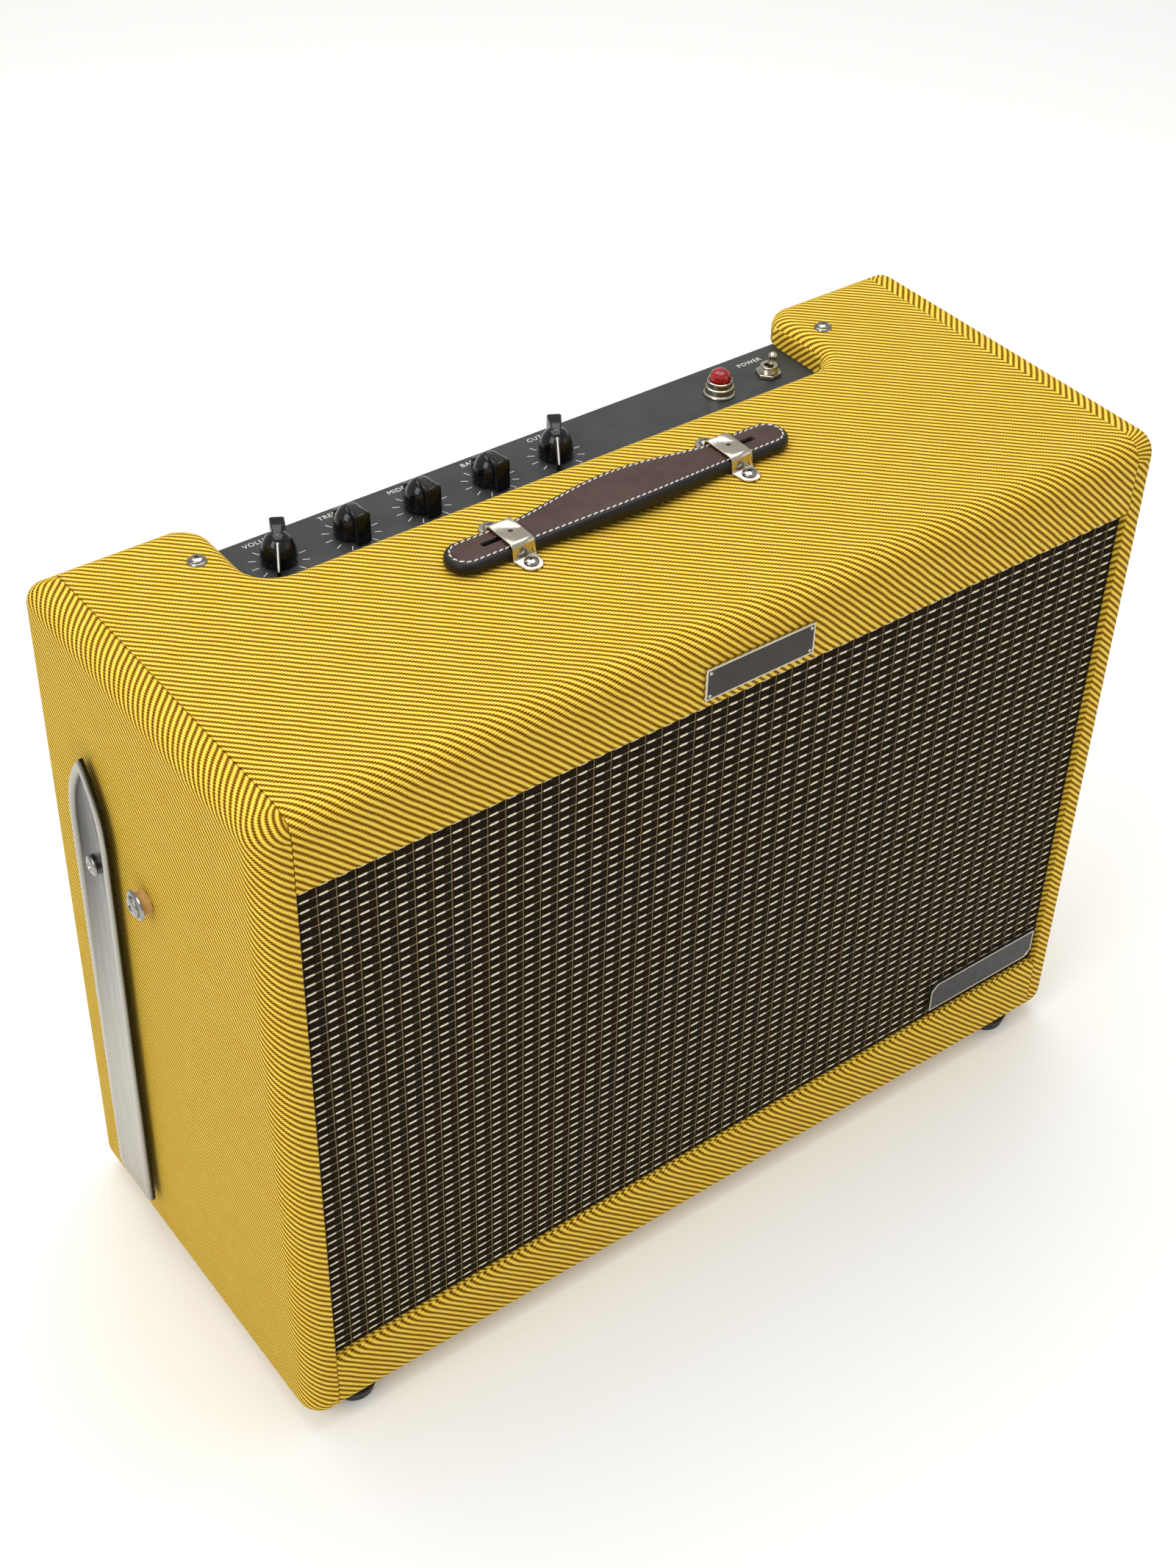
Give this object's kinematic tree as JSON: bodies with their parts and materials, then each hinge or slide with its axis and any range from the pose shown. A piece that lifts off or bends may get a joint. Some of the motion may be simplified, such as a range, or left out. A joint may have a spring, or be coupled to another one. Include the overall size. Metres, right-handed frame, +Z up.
{
  "type": "guitar amplifier",
  "caption": "Tweed-covered guitar combo amplifier with a woven grille, top rear control panel with pointer knobs, flat strap handle and tilt-back legs.",
  "frame": {"origin": "on the floor, under the middle of the whole object's box", "axes": "+Z up, the front with the grille faces -Y, +X to the right seen from the front"},
  "size_m": [0.6316, 0.268, 0.4974],
  "materials": {
    "tweed": "diagonal golden twill cloth with brown wales, glued over pine board",
    "plywood": "bare plywood",
    "grille_cloth": "dark brown woven grille cloth with cream dashes, stretched over a frame",
    "panel_paint": "satin dark grey enamel on folded sheet",
    "black_plastic": "glossy black moulding",
    "dark_metal": "dark coated metal",
    "nickel": "warm nickel plate",
    "stainless": "brushed stainless sheet",
    "red_glass": "faceted red glass",
    "leather": "dark brown leather with pale stitching",
    "fibre": "tan moulded spacer",
    "rubber": "black rubber",
    "speaker_paper": "pressed paper",
    "circuit_board": "circuit board"
  },
  "bodies": {
    "root": {"side_board_left": "tweed", "side_board_right": "tweed", "top_board": "tweed", "bottom_board": "tweed", "upper_front_rail": "tweed", "lower_front_rail": "tweed", "back_panel": "tweed", "baffle_board": "plywood", "grille_panel": "grille_cloth", "chassis": "panel_paint", "mains_inlet": "black_plastic", "volume_pot": "dark_metal", "treble_pot": "dark_metal", "middle_pot": "dark_metal", "bass_pot": "dark_metal", "cut_pot": "dark_metal", "grille_badge": "dark_metal", "speaker_basket": "dark_metal", "speaker_magnet": "dark_metal", "power_switch_body": "dark_metal", "power_supply": "dark_metal", "input_jack": "dark_metal", "line_out_jack": "dark_metal", "front_badge": "nickel", "jewel_bezel": "nickel", "power_switch_nut": "nickel", "handle_bracket_left": "nickel", "handle_bracket_right": "nickel", "bracket_screw_left_front": "nickel", "bracket_screw_left_rear": "nickel", "bracket_screw_right_front": "nickel", "bracket_screw_right_rear": "nickel", "chassis_screw_left": "nickel", "chassis_screw_right": "nickel", "leg_pivot_screw_left": "nickel", "leg_pivot_screw_right": "nickel", "leg_stop_screw_left": "nickel", "leg_stop_screw_right": "nickel", "jewel_lens": "red_glass", "leg_stop_spacer_left": "fibre", "leg_stop_spacer_right": "fibre", "foot_front_left": "rubber", "foot_front_right": "rubber", "foot_rear_left": "rubber", "foot_rear_right": "rubber", "speaker_cone": "speaker_paper", "speaker_dust_cap": "speaker_paper", "circuit_board": "circuit_board"},
    "volume_knob": {"volume_knob": "black_plastic"},
    "treble_knob": {"treble_knob": "black_plastic"},
    "middle_knob": {"middle_knob": "black_plastic"},
    "bass_knob": {"bass_knob": "black_plastic"},
    "cut_knob": {"cut_knob": "black_plastic"},
    "switch_lever": {"power_switch_lever": "nickel"},
    "leg_left": {"tilt_leg_left": "stainless"},
    "leg_right": {"tilt_leg_right": "stainless"},
    "handle_end_left": {"handle_end_left": "leather"},
    "handle_half_left": {"handle_half_left": "leather"},
    "handle_half_right": {"handle_half_right": "leather"},
    "handle_end_right": {"handle_end_right": "leather"}
  },
  "joints": [
    {"name": "volume_turn", "type": "hinge", "parent": "root", "child": "volume_knob", "pos_m": [-0.1708, 0.0741, 0.4667], "axis": [0, 0, -1], "range_deg": [0, 300]},
    {"name": "treble_turn", "type": "hinge", "parent": "root", "child": "treble_knob", "pos_m": [-0.1243, 0.0741, 0.4667], "axis": [0, 0, -1], "range_deg": [-150, 150]},
    {"name": "middle_turn", "type": "hinge", "parent": "root", "child": "middle_knob", "pos_m": [-0.0778, 0.0741, 0.4667], "axis": [0, 0, -1], "range_deg": [-150, 150]},
    {"name": "bass_turn", "type": "hinge", "parent": "root", "child": "bass_knob", "pos_m": [-0.0313, 0.0741, 0.4667], "axis": [0, 0, -1], "range_deg": [-150, 150]},
    {"name": "cut_turn", "type": "hinge", "parent": "root", "child": "cut_knob", "pos_m": [0.0152, 0.0741, 0.4667], "axis": [0, 0, -1], "range_deg": [0, 300]},
    {"name": "power_switch_throw", "type": "hinge", "parent": "root", "child": "switch_lever", "pos_m": [0.1763, 0.0741, 0.4707], "axis": [-1, 0, 0], "range_deg": [0, 40]},
    {"name": "tilt_leg_swing_left", "type": "hinge", "parent": "root", "child": "leg_left", "pos_m": [-0.309, 0.0534, 0.331], "axis": [1, 0, 0], "range_deg": [0, 43]},
    {"name": "tilt_leg_swing_right", "type": "hinge", "parent": "root", "child": "leg_right", "pos_m": [0.309, 0.0534, 0.331], "axis": [1, 0, 0], "range_deg": [0, 43]},
    {"name": "handle_slide", "type": "slide", "parent": "root", "child": "handle_end_left", "axis": [1, 0, 0], "range_m": [0, 0.0039]},
    {"name": "handle_lift", "type": "hinge", "parent": "handle_end_left", "child": "handle_half_left", "pos_m": [-0.064, -0.0091, 0.49], "axis": [0, -1, 0], "range_deg": [0, 20]},
    {"name": "handle_fold", "type": "hinge", "parent": "handle_half_left", "child": "handle_half_right", "pos_m": [0, -0.0091, 0.49], "axis": [0, 1, 0], "range_deg": [0, 40]},
    {"name": "handle_level", "type": "hinge", "parent": "handle_half_right", "child": "handle_end_right", "pos_m": [0.064, -0.0091, 0.49], "axis": [0, -1, 0], "range_deg": [0, 20]}
  ],
  "couplings": [
    {"joint": "handle_slide", "follows": "handle_lift", "m_per_rad": 0.011057},
    {"joint": "handle_fold", "follows": "handle_lift", "ratio": 2},
    {"joint": "handle_level", "follows": "handle_lift", "ratio": 1}
  ]
}
